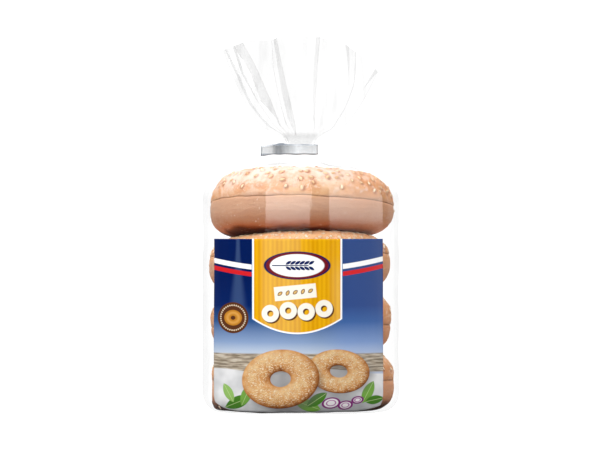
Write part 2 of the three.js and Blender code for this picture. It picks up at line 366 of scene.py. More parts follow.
class Nodes:
    """Builds the nodes of a material or a world, one call for each node."""

    def __init__(self, owner, output="OutputMaterial"):
        self.owner = owner
        owner.use_nodes = True
        self.tree = owner.node_tree
        self.tree.nodes.clear()
        self.output = self.tree.nodes.new("ShaderNode" + output)

    def node(self, kind, inputs=(), output=0, **settings):
        """An output of a new node, whose inputs are pairs of a name or number and what it gets."""
        made = self.tree.nodes.new("ShaderNode" + kind)
        for name, setting in settings.items():
            setattr(made, name, setting)
        for name, value in inputs:
            if isinstance(value, Value):
                self.tree.links.new(value.socket, made.inputs[name])
            else:
                made.inputs[name].default_value = value
        return Value(self, made.outputs[output])

    def math(self, operation, *values):
        return self.node("Math", enumerate(values), operation=operation)

    def mix(self, share, a, b):
        """Two colours mixed: b's share is given."""
        inputs = ((0, share), (6, linear(a)), (7, linear(b)))
        return self.node("Mix", inputs, 2, data_type="RGBA")

    def stained(self, base, *stains):
        """A colour under others, each given as a share and a colour."""
        for share, colour in stains:
            base = self.mix(share, base, colour)
        return base

    def ramp(self, value, stops):
        """Colours at places from 0 to 1: stops are pairs of a place and a colour."""
        made = self.node("ValToRGB", ((0, value),))
        elements = made.socket.node.color_ramp.elements
        while len(elements) < len(stops):
            elements.new(1.0)
        for element, (place, colour) in zip(elements, stops):
            element.position = place
            element.color = linear(colour)
        return made

    def between(self, value, low, high, start=0.0, end=1.0):
        """From start at low to end at high, eased at both ends."""
        inputs = enumerate((value, low, high, start, end))
        return self.node("MapRange", inputs, interpolation_type="SMOOTHSTEP")

    def scaled(self, vector, factor):
        """A vector or a colour times a factor."""
        return self.node("VectorMath", ((0, vector), ("Scale", factor)), operation="SCALE")

    def stretched(self, vector, scale):
        return self.node("Mapping", (("Vector", vector), ("Scale", scale)))

    def place(self):
        """Where a point of the object is, in millimetres."""
        return self.scaled(self.node("TexCoord", output="Object"), 1 / MM)

    def axes(self, vector):
        x = self.node("SeparateXYZ", ((0, vector),))
        return x, x.other(1), x.other(2)

    def attribute(self, name):
        return self.node("Attribute", output="Fac", attribute_name=name)

    def noise(self, vector, size, detail=3.0, roughness=0.55, distortion=0.0, **settings):
        """Noise with features of that size."""
        names = ("Vector", "Scale", "Detail", "Roughness", "Distortion")
        inputs = zip(names, (vector, 1.0 / size, detail, roughness, distortion))
        return self.node("TexNoise", inputs, "Fac", **settings)

    def bump(self, height, distance, strength):
        inputs = (("Height", height), ("Distance", distance * MM), ("Strength", strength))
        return self.node("Bump", inputs)

    def principled(self, **inputs):
        named = ((name.replace("_", " "), value) for name, value in inputs.items())
        return self.node("BsdfPrincipled", named)

    def blend(self, share, a, b):
        """Two shaders mixed: b's share is given."""
        return self.node("MixShader", enumerate((share, a, b)))

    def finish(self, surface):
        self.tree.links.new(surface.socket, self.output.inputs["Surface"])
        return self.owner


def material(name):
    return Nodes(bpy.data.materials.new(name))


# ---- film bag

ROUND = 320  # points round the film
ANGLES = np.linspace(0, 2 * math.pi, ROUND, endpoint=False)


def round_film(half_width, half_depth, crimp=0.0):
    """x and y round the film, whose outline is crimped in the neck."""
    share = 1 + crimp * np.cos(23 * ANGLES + 2 * np.sin(4 * ANGLES))
    return half_width * share * np.cos(ANGLES), half_depth * share * np.sin(ANGLES)


def profile_at(z):
    """Radius and outward slope (radial and upward shares) of the smooth film up to the shoulder."""
    turn = np.arccos(np.clip(1 - z / BASE_ROUNDING, 0, 1))
    radius = lerp(BASE_RADIUS, FILM_RADIUS, np.sin(turn))
    down = np.where(z < BASE_ROUNDING, np.cos(turn), 0.0)
    return radius, np.sqrt(1 - down**2), -down


def tilt(x, y, z):
    """How far the leaning stack lifts a point of the level at height z on its axis."""
    heights, front_up, right_up = zip((BASE_ROUNDING, 0.0, 0.0), *PLANES[1:])
    return x * rise_by(np.interp(z, heights, right_up)) - y * rise_by(np.interp(z, heights, front_up))


def back_sag(angle, z):
    """How far the film is drawn in between two bagels, at its back."""
    near = sum(np.exp(-((z - plane[0]) / 7.0) ** 2) for plane in PLANES[1:-1])
    return BACK_SAG * near * smoothstep(-0.3, 0.8, np.sin(angle))


def film_crease(angle, z):
    """How far the creased film stands out from the smooth one."""
    reach = FILM_RADIUS / CREASE_WIDTH
    place = stacked(np.cos(angle) * reach, np.sin(angle) * reach, z / CREASE_HEIGHT)
    broad = value_noise(place, 1.0, 3)
    fine = value_noise(place * (2.6, 2.6, 1.7), 1.0, 4)
    front = np.exp(-((np.sin(angle) + 1) / 0.45) ** 2)  # the print keeps it smooth
    return (0.42 * broad + 0.2 * fine) * (1 - 0.75 * front) * smoothstep(0, 12, z)


def body_rings():
    """The film from the middle of the underside to where the shoulder starts."""
    rings = []
    for radius in UNDERSIDE_RADII:
        height = UNDERSIDE_HEIGHT + 0.12 * np.cos(9 * ANGLES + radius)
        rings.append(stacked(*round_film(radius, radius), height))
    heights = [BASE_ROUNDING * (1 - math.cos(a)) for a in np.linspace(0, math.pi / 2, 14)]
    heights += list(np.linspace(BASE_ROUNDING, SHOULDER_START, 72)[1:])
    for z in heights:
        radius, out, _ = profile_at(np.array(z))
        push = film_crease(ANGLES, z) - back_sag(ANGLES, z)
        tuck = 0.25 * np.cos(17 * ANGLES + 2 * np.sin(5 * ANGLES)) * (1 - smoothstep(2, 16, z))
        reach = radius + (push + tuck) * out
        x, y = round_film(reach, reach)
        rings.append(stacked(x, y, max(z, 0.15) + tilt(x, y, z)))
    return rings


def pleats(angle):
    """Creases that run to the neck, from 0 in a valley to 1 on a ridge."""
    bent = angle + 0.16 * np.sin(3 * angle + 0.6) + 0.07 * np.sin(7 * angle + 2.1)
    deep = 1 - np.abs(np.sin(11.5 * bent)) ** 0.8
    small = 1 - np.abs(np.sin(27 * bent + 1.1)) ** 0.9
    return 0.7 * deep + 0.3 * small


def shoulder_rings():
    """Over the top bagel and up to the neck."""
    rounding = 2 / SHOULDER_POWER
    most = math.acos((GATHER_RADIUS / FILM_RADIUS) ** (1 / rounding))
    crease = film_crease(ANGLES, SHOULDER_START)
    ridge = PLEAT_HEIGHT * pleats(ANGLES)
    rings = []
    for turn in np.linspace(0, most, 26)[1:]:
        radius = FILM_RADIUS * math.cos(turn) ** rounding
        z = lerp(SHOULDER_START, CROWN_HEIGHT, math.sin(turn) ** rounding)
        reach = radius + crease * (1 - smoothstep(0, 10, z - SHOULDER_START))
        lift = ridge * smoothstep(6, FILM_RADIUS - GATHER_RADIUS, FILM_RADIUS - radius)
        x, y = round_film(reach, reach)
        rings.append(stacked(x, y, z + lift + tilt(x, y, z)))
    top = z
    for g in np.linspace(0, 1, 30)[1:]:
        half_width = lerp(radius, NECK_HALF_WIDTH, 1 - (1 - g) ** 1.6)
        half_depth = lerp(radius, NECK_HALF_DEPTH, 1 - (1 - g) ** 1.4)
        x, y = round_film(half_width, half_depth, 0.05 * g)
        lift = ridge * (1 - g**1.5) + (1 - g) * tilt(x, y, top)
        rings.append(stacked(x, y, lerp(top, NECK_BOTTOM, g**1.7) + lift))
    return rings


def folded_layer(folds, half_width, v, points):
    """One layer of the tail across a level, as arrays of x and y: flat panels, and between two of
    them a strip that doubles back behind the first and leads to the second."""
    x, y = [-half_width], [0.0]
    for places, widths in folds:
        middle = half_width * np.interp(v, FOLD_LEVELS, places)
        wide = np.interp(v, FOLD_LEVELS, widths)
        x += [middle + wide / 2, middle - wide / 2]
        y += [0.0, FOLD_DEPTH_SHARE * wide]
    x.append(half_width)
    y.append(0.0)
    strip_share = 0.07
    panel_share = (1 - strip_share * len(folds)) / (len(folds) + 1)
    steps = [panel_share, strip_share] * len(folds) + [panel_share]
    stations = np.concatenate([[0], np.cumsum(steps)])
    kernel = np.hanning(7)[1:-1]
    line = []
    for values in (x, y):
        even = np.interp(np.linspace(0, 1, points), stations, values)
        before, after = 2 * even[0] - even[2:0:-1], 2 * even[-1] - even[-2:-4:-1]
        padded = np.concatenate([before, even, after])
        line.append(np.convolve(padded, kernel / kernel.sum(), "valid"))
    return np.array(line)


def tail_rings():
    """Above the strip the front and back of the film fan out as two folded layers."""
    half = ROUND // 2
    side = np.concatenate([np.ones(half), -np.ones(half)])
    neck_x, neck_y = round_film(NECK_HALF_WIDTH, NECK_HALF_DEPTH, 0.06)
    start = (NECK_HALF_WIDTH / TAIL_HALF_WIDTH) ** (1 / TAIL_SPREAD)
    rings = []
    for v in np.linspace(0, 1, 72) ** 1.25:
        half_width = TAIL_HALF_WIDTH * lerp(start, 1, v) ** TAIL_SPREAD
        back = folded_layer(BACK_FOLDS, half_width, v, half + 1)
        front = folded_layer(FRONT_FOLDS, half_width, v, half + 1)
        x, fold = np.concatenate([back[:, ::-1][:, :-1], front[:, :-1]], 1)  # from the right end
        u = x / half_width
        inside = np.clip(np.abs(u), 0, 1)
        billow = (1 - inside**2) ** 0.65 * (1 + 0.3 * np.sin(6 * u + 2 * side))
        apart = TAIL_HALF_GAP + TAIL_OPENING * billow * (half_width / TAIL_HALF_WIDTH) ** 2
        gathers = 0.45 * np.sin(34 * u + side) * (1 - smoothstep(0.05, 0.55, v))
        sway = v * (1.8 * np.sin(2.2 * u + 0.8) + 1.1 * np.sin(5.3 * u + 2.0 + 1.5 * v))
        y = side * (apart + fold + gathers * (1 - inside**4)) + sway
        drop = np.where(x < 0, TAIL_LEFT_DROP, TAIL_RIGHT_DROP) * inside**3
        ragged = RIM_RAGGED * np.sin(11 * u + 3 * side) * np.sin(5 * u + 1)
        grown = smoothstep(0, 0.2, v)
        z = lerp(NECK_TOP, TAIL_TOP - drop - ragged, v)
        rings.append(stacked(lerp(neck_x, x, grown), lerp(neck_y, y, grown), z))
    return rings


def film_bag():
    """One sheet of film: base, sides, gathered shoulder, neck and fanned tail."""
    rings = body_rings() + shoulder_rings() + tail_rings()
    points = np.concatenate(rings + [np.array([[0, 0, UNDERSIDE_HEIGHT]])])
    faces = grid_faces(len(rings), ROUND, True)
    middle = len(points) - 1
    faces += [(middle, (i + 1) % ROUND, i) for i in range(ROUND)]
    piece = mesh_object("film_bag", points, faces, [film_material()])
    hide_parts("bag")
    return piece


def film_material():
    """Clear film: see-through, and glossy by the angle at which it is seen."""
    s = material("clear_film")
    place = s.place()
    x, _, z = s.axes(place)
    edge_on = s.node("LayerWeight", (("Blend", 0.5),), "Facing") ** 3.0
    over_crown = s.between(z, *OVER_CROWN)
    share = s.between(z, *ABOVE_PRINT, JOINT_GLOSS, FILM_GLOSS)
    share = share + over_crown * (TAIL_GLOSS - FILM_GLOSS) + edge_on * (1 - over_crown) * EDGE_GLOSS

    flare = s.between(z, NECK_TOP, NECK_TOP + 5.0, 0.0, 3.0)
    neck_loss = s.between(abs(x) - flare, 4.6, 8.0, NECK_LOSS, 0.003)
    neck_loss = neck_loss * s.between(z, NECK_TOP + 4.0, NECK_TOP + 7.5, 1.0, 0.0)
    clouds = s.noise(s.stretched(place, (1.0, 0.2, 0.22)), 5.0, 2.0)
    tail_loss = s.between(clouds, 0.48, 0.7, *TAIL_LOSS) + edge_on * TAIL_EDGE_LOSS
    tail_loss = tail_loss * s.between(z, NECK_TOP + 1.5, NECK_TOP + 6.0)
    body_loss = s.math("MINIMUM", edge_on * BODY_EDGE_LOSS, BODY_LOSS_LIMIT)
    body_loss = body_loss * s.between(z, 113.0, 124.0, 1.0, 0.14)
    loss = (neck_loss + tail_loss) * s.between(z, NECK_BOTTOM, NECK_TOP) + body_loss + FILM_LOSS
    clear = s.node("BsdfTransparent", (("Color", 1 - loss),))

    ripple = s.noise(s.stretched(place, (1.0, 1.0, 0.25)), 6.0, 2.0)
    inputs = (("Roughness", 0.07), ("Normal", s.bump(ripple, 0.2, 0.25)))
    return s.finish(s.blend(share, clear, s.node("BsdfGlossy", inputs)))


# ---- bagels

ROUND_BAGEL = 176
CRUST_STEPS = 46
CUT_STEPS = 12
RIDGE_SHARE = 29.0 / 49.0  # radius of the highest ring, as a share of the bagel's


def plane_height(plane, x, y):
    """Height of a plane given as its height on the axis and the degrees its front and right rise."""
    height, front_up, right_up = plane
    return height - y * rise_by(front_up) + x * rise_by(right_up)


def bagel_section(bagel, phi, theta):
    """Points of a bagel's smooth surface: phi runs round from the front, theta round the section."""
    number, belly = bagel["number"], bagel["belly"]
    grow = 1 + 0.008 * np.sin(2 * phi + number) + 0.006 * np.sin(3 * phi + 2.3 * number)
    radius = bagel["radius"] * grow
    ridge = RIDGE_SHARE * radius
    hole = HOLE_RADIUS * (1 + 0.1 * np.sin(phi * 2 + 1))
    along, rise = np.cos(theta), np.sin(theta)
    width = np.where(along > 0, radius - ridge, ridge - hole)
    corner = BASE_CORNER * np.clip(-np.sin(phi), 0, 1) ** 2 if number == 1 else 0.0
    power = np.where(rise > 0, bagel["above"], bagel["below"] + corner)
    reach = ridge + width * np.sign(along) * np.abs(along) ** (2 / power)
    half_height = np.where(rise > 0, 1 - belly, belly)
    share = belly + half_height * np.sign(rise) * np.abs(rise) ** (2 / power)
    x, y = reach * np.sin(phi), -reach * np.cos(phi)
    low = plane_height(bagel["low"], x, y)
    high = plane_height(bagel["high"], x, y) - TOUCH_GAP
    return stacked(x + bagel["x"], y, lerp(low, high, share))


def cut_height(bagel, x, y):
    """Height of the knife's cut."""
    low, front_up, _ = bagel["low"]
    waver = np.sin(x / 6.1 + 2 * bagel["number"]) + 0.6 * np.sin(x / 2.3 - y / 3.7)
    plane = (low + bagel["cut"], front_up, bagel["cut_right_up"])
    return plane_height(plane, x, y) + CUT_WAVER * waver


def cut_angles(bagel, phi, outer):
    """The section's angle at which the cut meets the crust, on the outside or in the hole."""
    below, above = (-math.pi / 2, math.pi / 2) if outer else (3 * math.pi / 2, math.pi / 2)
    low = np.full(phi.shape, below)
    high = np.full(phi.shape, above)
    for _ in range(24):
        middle = (low + high) / 2
        x, y, z = np.moveaxis(bagel_section(bagel, phi, middle), -1, 0)
        over = z > cut_height(bagel, x, y)
        high = np.where(over, middle, high)
        low = np.where(over, low, middle)
    return (low + high) / 2


def crust_relief(points, seed, top):
    """How far the crust stands out at each point."""
    lumps = value_noise(points, 21.0, seed)
    bumps = value_noise(points, 7.0, seed + 1)
    small = value_noise(points, 2.6, seed + 2)
    if top:
        pimples = np.clip(value_noise(points, 1.7, seed + 3) - 0.25, 0, 1)
        flakes = np.abs(value_noise(points, 4.4, seed + 5))
        return 0.55 * lumps + 0.42 * bumps + 0.24 * small + 0.3 * pimples - 0.5 * flakes
    folds = np.abs(value_noise(points * (1, 1, 3.4), 11.0, seed + 4))
    return 0.55 * lumps + 0.14 * bumps + 0.05 * small - 0.35 * folds


def bagel_half(bagel, top, materials):
    """A closed half: the crust from the outer cut edge round to the hole, and the cut face."""
    number = bagel["number"]
    round_steps, crust_steps = ROUND_BAGEL * bagel["fine"], CRUST_STEPS * bagel["fine"]
    phi = np.linspace(0, 2 * math.pi, round_steps, endpoint=False)
    outer = cut_angles(bagel, phi, True)
    inner = cut_angles(bagel, phi, False) - (0 if top else 2 * math.pi)
    share = np.linspace(0, 1, crust_steps)
    theta = outer[:, None] + (inner - outer)[:, None] * share
    spread = np.broadcast_to(phi[:, None], theta.shape)
    crust = bagel_section(bagel, spread, theta)
    out = np.cos(theta)
    away = stacked(out * np.sin(spread), -out * np.cos(spread), np.sin(theta))
    crust = crust + away * crust_relief(crust, number, top)[..., None]

    # The cut edges are rounded a little and drawn back from the cut.
    from_edge = np.minimum(share, 1 - share)
    crust -= away * 0.35 * np.exp(-from_edge * CRUST_STEPS / 0.6)[None, :, None]
    gap = CUT_GAP * (1 + 0.7 * value_noise(crust, 12.0, number + 7)) * np.exp(-from_edge * 14)
    crust[..., 2] += gap if top else -gap
    across = np.linspace(0, 1, CUT_STEPS + 2)[1:-1]
    cut = lerp(crust[:, -1:, :], crust[:, :1, :], across[None, :, None])
    cut[..., 2] += 0.12 * value_noise(cut, 2.2, number + 9)

    grid = np.concatenate([crust, cut], 1)
    columns = grid.shape[1]
    faces = grid_faces(round_steps, columns, True, True)
    if not top:
        faces = [face[::-1] for face in faces]
    half = "top" if top else "bottom"
    piece = mesh_object(f"bagel_{number}_{half}", grid.reshape(-1, 3), faces, materials)
    on_cut = np.tile(np.arange(columns) >= crust_steps - 1, round_steps)
    piece.data.polygons.foreach_set("material_index", on_cut.astype(np.int32))
    low, high = (plane_height(bagel[name], grid[..., 0], grid[..., 1]) for name in ("low", "high"))
    give_attribute(piece, "rise", ((grid[..., 2] - low) / (high - low)).ravel())
    piece.data.update()
    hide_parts("bag")
    return piece, crust


def crust_material():
    """Baked crust: pale gold on top, pinkish tan below the cut and browner at the bottom edge, with a
    painted highlight on the crown and painted shade round the seeds, at the left and where the stack
    stands.
    """
    s = material("crust")
    place = s.place()
    x, _, z = s.axes(place)
    rise = s.attribute("rise")
    patch = s.noise(place, 8.0)
    fine = s.noise(place, 1.6, 4.0, 0.65)
    uneven = (s.noise(place, 19.0, 2.0) - 0.5) * 0.16 + (patch - 0.5) * 0.07
    # The level is lower at the left, which darkens the crust there: painted shade.
    level = rise + uneven + s.between(x, -34.0, -12.0, -0.05, 0.0)
    upper = s.between(rise, 0.46, 0.62)
    flank = s.math("MAXIMUM", s.between(x, -36.0, -44.0), s.between(x, 22.0, 34.0))
    # A paler patch at the front left of the crown: painted highlight, where the light from the upper
    # left falls.
    front_left = s.between(x, -8.0, -22.0) * s.between(z, 113.0, 121.0)
    blush = s.between(patch, 0.47, 0.56) * s.between(z, 117.0, 126.0, 0.7, 0.4)
    pale = s.between(s.noise(place, 4.0, 5.0, 0.7), 0.52, 0.58)
    blister_glint = s.between(s.noise(place, 1.1, 1.0), 0.64, 0.72) * s.between(patch, 0.5, 0.6)
    seed_shade = s.attribute("seed_shadow") * s.between(patch, 0.35, 0.6, 0.3, 0.8)
    base = s.stained(
        s.ramp(level, CRUST_COLOURS),
        (s.between(z, 117.0, 130.0, 0.0, 0.85), (250, 232, 222)),  # the crown, paler: painted highlight
        (s.between(z, 50.0, 80.0, 0.3, 0.0), (214, 136, 80)),  # the lower bagels
        (flank * upper * 0.55, (238, 164, 100)),
        (s.between(x, 12.0, 34.0, 0.0, 0.38), (224, 140, 72)),
        # painted highlight at the front left of the crown
        (front_left * 0.5, (250, 226, 214)),
        (blush * upper, (232, 158, 102)),
        # pale patches on the top: partly paler crust, partly painted highlights on its flakes
        (pale * upper * 0.45, (255, 234, 218)),
        (s.between(fine, 0.60, 0.72, 0.0, 0.28), (170, 100, 56)),  # specks
        # painted glints: small white specks on blisters
        (blister_glint * 0.6, (255, 240, 224)),
        # painted shadow round each seed
        (seed_shade, (174, 98, 52)),
        (s.between(z, 3.0, 10.0, 0.95, 0.0), (64, 28, 12)),  # darker where the stack stands: partly the baked underside, partly painted shade
    )
    # The tops of the lower bagels get little light, so they are lighter than the rest.
    sheltered = s.between(rise, 0.7, 0.9) * s.between(z, 100.0, 110.0, 0.6, 0.0)
    base = s.mix(sheltered, s.scaled(base, CRUST_TONE), (252, 196, 140))
    veins = s.noise(s.stretched(place, (1.0, 1.0, 3.5)), 5.0, 4.0, 0.6, 0.6)
    return s.finish(s.principled(
        Base_Color=base, Roughness=0.6, Normal=s.bump(veins + fine * 0.35, 0.8, 0.5),
        Specular_IOR_Level=0.15, Subsurface_Weight=0.12, Subsurface_Scale=2.0 * MM,
        Subsurface_Radius=(1.0, 0.6, 0.4),
    ))


def crumb_material():
    """The cut face: pale and full of small holes, with painted shade in them."""
    s = material("crumb")
    holes = s.node("TexVoronoi", (("Vector", s.place()), ("Scale", 0.55)), "Distance")
    depth = s.between(holes, 0.1, 0.5)
    # darker in the holes: painted shade
    base = s.mix(depth, (150, 96, 58), (206, 160, 116))
    return s.finish(s.principled(Base_Color=base, Roughness=0.8, Normal=s.bump(depth, 0.5, 0.6)))


# ---- sesame seeds

SEED_RINGS = 5
SEED_SIDES = 8


def seed_form():
    """A seed lying along x, pointed at its +x end, as points and faces."""
    points = [(-SEED_LENGTH / 2, 0, 0)]
    for a in np.linspace(0, math.pi, SEED_RINGS + 2)[1:-1]:
        x = -math.cos(a)
        thin = math.sin(a) * (1 - 0.34 * x)
        for b in np.linspace(0, 2 * math.pi, SEED_SIDES, endpoint=False):
            points.append((
                SEED_LENGTH / 2 * x,
                SEED_WIDTH / 2 * thin * math.cos(b),
                SEED_THICKNESS / 2 * thin**0.8 * math.sin(b),
            ))
    points.append((SEED_LENGTH / 2, 0, 0))
    last = len(points) - 1
    tail = last - SEED_SIDES
    faces = [(a + 1, b + 1, c + 1, d + 1) for a, b, c, d in grid_faces(SEED_RINGS, SEED_SIDES, True)]
    for k in range(SEED_SIDES):
        n = (k + 1) % SEED_SIDES
        faces += [(0, 1 + n, 1 + k), (tail + k, tail + n, last)]
    return np.array(points), faces


def surface_spot(grid, i, j):
    """Point and normal on a grid of points at fractional row i, which closes, and column j."""
    rows, columns = grid.shape[:2]
    a, b = int(i) % rows, (int(i) + 1) % rows
    c = min(int(j), columns - 2)
    low, high = (lerp(grid[row, c], grid[row, c + 1], j - c) for row in (a, b))
    along = grid[(int(i) + 2) % rows, c] - grid[(int(i) - 1) % rows, c]
    across = grid[a, min(c + 2, columns - 1)] - grid[a, max(c - 1, 0)]
    normal = Vector(across).cross(Vector(along)).normalized()
    return Vector(lerp(low, high, i - int(i))), normal


def seed_places(grid, count, spacing, draw, reach, outwards):
    """Random spots on part of a crust, none nearer another than spacing."""
    rows, columns = grid.shape[:2]
    found = []
    tries = 0
    while len(found) < count and tries < 30 * count:
        tries += 1
        i = draw.uniform(0, rows)
        share = draw.uniform(*reach)
        if outwards and draw.random() > smoothstep(0.0, SEED_FADE, share):
            continue
        point, normal = surface_spot(grid, i, share * (columns - 1))
        if draw.random() > math.hypot(point.x, point.y) / BAGEL_RADIUS:
            continue
        if any((point - other).length < spacing for other, _ in found):
            continue
        found.append((point, normal if outwards else -normal))
    return found


def shade_round_seeds(piece, spots):
    """Gives the crust painted shadow near each seed, most on the side away from the light."""
    tree = kdtree.KDTree(len(spots))
    for index, (point, _) in enumerate(spots):
        tree.insert(point + SEED_SHADE, index)
    tree.balance()
    near = [tree.find(vertex.co / MM)[2] for vertex in piece.data.vertices]
    give_attribute(piece, "seed_shadow", 1 - smoothstep(1.0, 2.3, np.array(near)))


def sesame_seeds(bagels):
    """Every seed as one mesh: bagels is a list of a bagel, its halves and their crusts."""
    draw = random.Random(SEED_DRAW)
    form, form_faces = seed_form()
    spots = []
    for bagel, top, top_crust, bottom, bottom_crust in bagels:
        above = seed_places(top_crust, bagel["seeds"], SEED_SPACING, draw, SEED_REACH, True)
        below = seed_places(
            bottom_crust, SEEDS_BELOW, SEED_SPACING_BELOW, draw, SEED_REACH_BELOW, False,
        )
        shade_round_seeds(top, above)
        shade_round_seeds(bottom, below)
        spots += above + below
    points, faces, tints = [], [], []
    for point, normal in spots:
        size = draw.uniform(0.82, 1.1)
        spin = draw.uniform(0, 2 * math.pi)
        lean = Vector([draw.gauss(0, 0.16) for _ in range(3)])
        up = (normal + lean).normalized()
        side = up.orthogonal().normalized()
        along = math.cos(spin) * side + math.sin(spin) * up.cross(side)
        first = len(points) * len(form)
        turned = form * size @ np.array([along, up.cross(along), up])
        points.append(turned + np.array(point + normal * SEED_LIFT))
        faces += [tuple(first + v for v in face) for face in form_faces]
        tints += [draw.random()] * len(form)
    piece = mesh_object("sesame_seeds", np.concatenate(points), faces, [seed_material()])
    give_attribute(piece, "tint", tints)
    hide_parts("bag")
    return piece


def seed_material():
    """Pale gold, from cream to tan by the seed, with painted light on those low on the stack."""
    s = material("sesame")
    place = s.place()
    grain = s.noise(place, 0.5)
    base = s.stained(
        s.ramp(s.attribute("tint"), SEED_COLOURS),
        (grain * 0.25, (226, 190, 140)),
        # paler low on the stack: painted light on seeds that the bagel above shades
        (s.between(s.axes(place)[2], 100.0, 110.0, 0.25, 0.0), (255, 240, 220)),
    )
    return s.finish(s.principled(
        Base_Color=base, Roughness=0.42, Specular_IOR_Level=0.5, Normal=s.bump(grain, 0.1, 0.3),
        Subsurface_Weight=0.15, Subsurface_Scale=1.0 * MM, Subsurface_Radius=(1.0, 0.8, 0.6),
    ))


# ---- print

PRINT_COLUMNS = 150
PRINT_ROWS = 96


def print_low(share):
    """Height of the print's lower edge, which rises at its two corners; share runs from -1 to 1."""
    return PANEL_START + np.where(share < 0, 4.6 * share**8, 3.0 * np.abs(share) ** 5)


def print_sheet():
    """The printed layer on the film, with a white inner face."""
    share = np.linspace(-1, 1, PRINT_COLUMNS)
    angle = np.radians(FRONT + np.linspace(PANEL_LEFT, PANEL_RIGHT, PRINT_COLUMNS))
    points = []
    for lift in (PANEL_LIFT + PRINT_THICKNESS, PANEL_LIFT):
        for t in np.linspace(0, 1, PRINT_ROWS):
            z = lerp(print_low(share), PANEL_TOP, t)
            radius, out, up = profile_at(z)
            reach = radius + (film_crease(angle, z) + lift) * out
            points.append(stacked(reach * np.cos(angle), reach * np.sin(angle), z + lift * up))
    count = PRINT_ROWS * PRINT_COLUMNS
    front = grid_faces(PRINT_ROWS, PRINT_COLUMNS, False)
    back = [tuple(count + v for v in face[::-1]) for face in front]
    number = np.arange(count).reshape(PRINT_ROWS, PRINT_COLUMNS)
    edge = [*number[0], *number[1:, -1], *number[-1, -2::-1], *number[-2:0:-1, 0]]
    rim = [(a, a + count, b + count, b) for a, b in zip(edge, edge[1:] + edge[:1])]
    materials = [print_material(), ink_back_material()]
    piece = mesh_object("print_sheet", np.concatenate(points), front + back + rim, materials)
    inside = [0] * len(front) + [1] * (len(back) + len(rim))
    piece.data.polygons.foreach_set("material_index", inside)
    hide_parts("print_panel")
    return piece


class Art:
    """Paints flat shapes over each other. Each shape is the distance outside it."""

    def __init__(self, nodes, across, up, ground):
        self.s = nodes
        self.x = across
        self.z = up
        self.colour = ground

    def at(self, x, z, turn=0.0):
        """Coordinates about a point, turned anticlockwise by degrees."""
        dx, dz = self.x - x, self.z - z
        if not turn:
            return dx, dz
        c, n = math.cos(math.radians(turn)), math.sin(math.radians(turn))
        return dx * c + dz * n, dz * c - dx * n

    def most(self, a, b):
        return self.s.math("MAXIMUM", a, b)

    def length(self, a, b):
        return self.s.math("SQRT", a * a + b * b)

    def ellipse(self, x, z, half_width, half_height, turn=0.0):
        """Its distance is rough, and exact on its edge."""
        a, b = self.at(x, z, turn)
        return (self.length(a / half_width, b / half_height) - 1.0) * min(half_width, half_height)

    def box(self, x, z, half_width, half_height, corner=0.0, turn=0.0):
        a, b = self.at(x, z, turn)
        a, b = abs(a) - (half_width - corner), abs(b) - (half_height - corner)
        outside = self.length(self.most(a, 0.0), self.most(b, 0.0))
        return outside + self.s.math("MINIMUM", self.most(a, b), 0.0) - corner

    def ring(self, distance, half_thickness):
        """A band along a shape's edge."""
        return abs(distance) - half_thickness

    def leaf(self, x, z, length, width, turn):
        """A pointed leaf: where two discs overlap."""
        a, b = self.at(x, z, turn)
        radius = (length**2 + width**2) / (4 * width)
        return self.length(a, abs(b) + (radius - width / 2)) - radius

    def noise(self, scale, stretch=1.0, detail=2.0):
        """Noise over the print, at that many features a millimetre."""
        spot = self.s.node("CombineXYZ", ((0, self.x * stretch), (1, self.z)))
        return self.s.noise(spot, 1 / scale, detail, 0.5, noise_dimensions="2D")

    def paint(self, distance, colour, grow=0.0, soft=0.16, most=1.0):
        """Colour where the distance is below grow."""
        on = self.s.between(distance, grow - soft, grow + soft, most, 0.0)
        self.colour = self.s.mix(on, self.colour, colour)


def sky(s, across, up):
    """The blue ground, from navy at the top to pale near the shelf, with painted reflections: lighter
    towards the right, and a pale streak at the left.
    """
    reflection_streak = 1.0 - abs(across + 33.0) / s.between(up, PANEL_TOP, 44.0, 1.5, 6.8)
    return s.stained(
        s.ramp(up / PANEL_TOP, SKY_COLOURS),
        # painted reflection: lighter towards the right
        (s.between(across, 8.0, 26.0, 0.0, 0.26), (98, 142, 226)),
        # painted reflection: a pale streak at the left
        (s.between(reflection_streak, 0.0, 0.8) * s.between(up, 36.0, 60.0, 0.0, 0.12), (150, 190, 240)),
    )


def stripes_and_panel(art):
    """A white and a red stripe in a shallow arc, and the yellow panel over them with a faint painted
    reflection.
    """
    s = art.s
    level = art.z - (art.x + 3.0) ** 2.0 * 0.0026
    for middle, half, colour in ((76.4, 1.3, WHITE), (72.6, 1.15, RED)):
        art.paint(abs(level - middle) - half, colour)
    beside = art.x - YELLOW_MIDDLE
    bottom = (beside / YELLOW_HALF_WIDTH) ** 2.0 * YELLOW_RISE + YELLOW_BOTTOM
    panel = art.most(abs(beside) - YELLOW_HALF_WIDTH, bottom - art.z)
    art.paint(panel, (70, 120, 180), 0.25)
    art.paint(panel, WHITE, -0.1)
    fine, broad = (s.math("SINE", art.x * (2 * math.pi / period)) for period in (2.35, 9.3))
    yellow = s.mix(fine * 0.32 + broad * 0.18 + 0.5, (236, 164, 0), (255, 192, 16))
    # A faint pale band on the yellow, left of the middle and at the top right: painted reflection.
    reflection_veil = art.most(
        s.between(art.x, -22.5, -18.5) * s.between(art.x, 1.2, -1.2),
        s.between(art.x, 14.0, 20.0) * s.between(art.z, 86.0, 70.0),
    )
    art.paint(panel, s.mix(reflection_veil * 0.08, yellow, (255, 250, 214)), -0.95)


def wheat_ear(art, x, z):
    """A level stem with six pairs of slanting grains."""
    art.paint(art.box(x, z, 9.61, 0.279), NAVY, soft=0.1)
    for g in range(6):
        for side in (-1, 1):
            grain = art.leaf(x - 0.93 + 2.4025 * g, z + 1.4725 * side, 3.565, 1.4725, 30 * side)
            art.paint(grain, NAVY, soft=0.1)


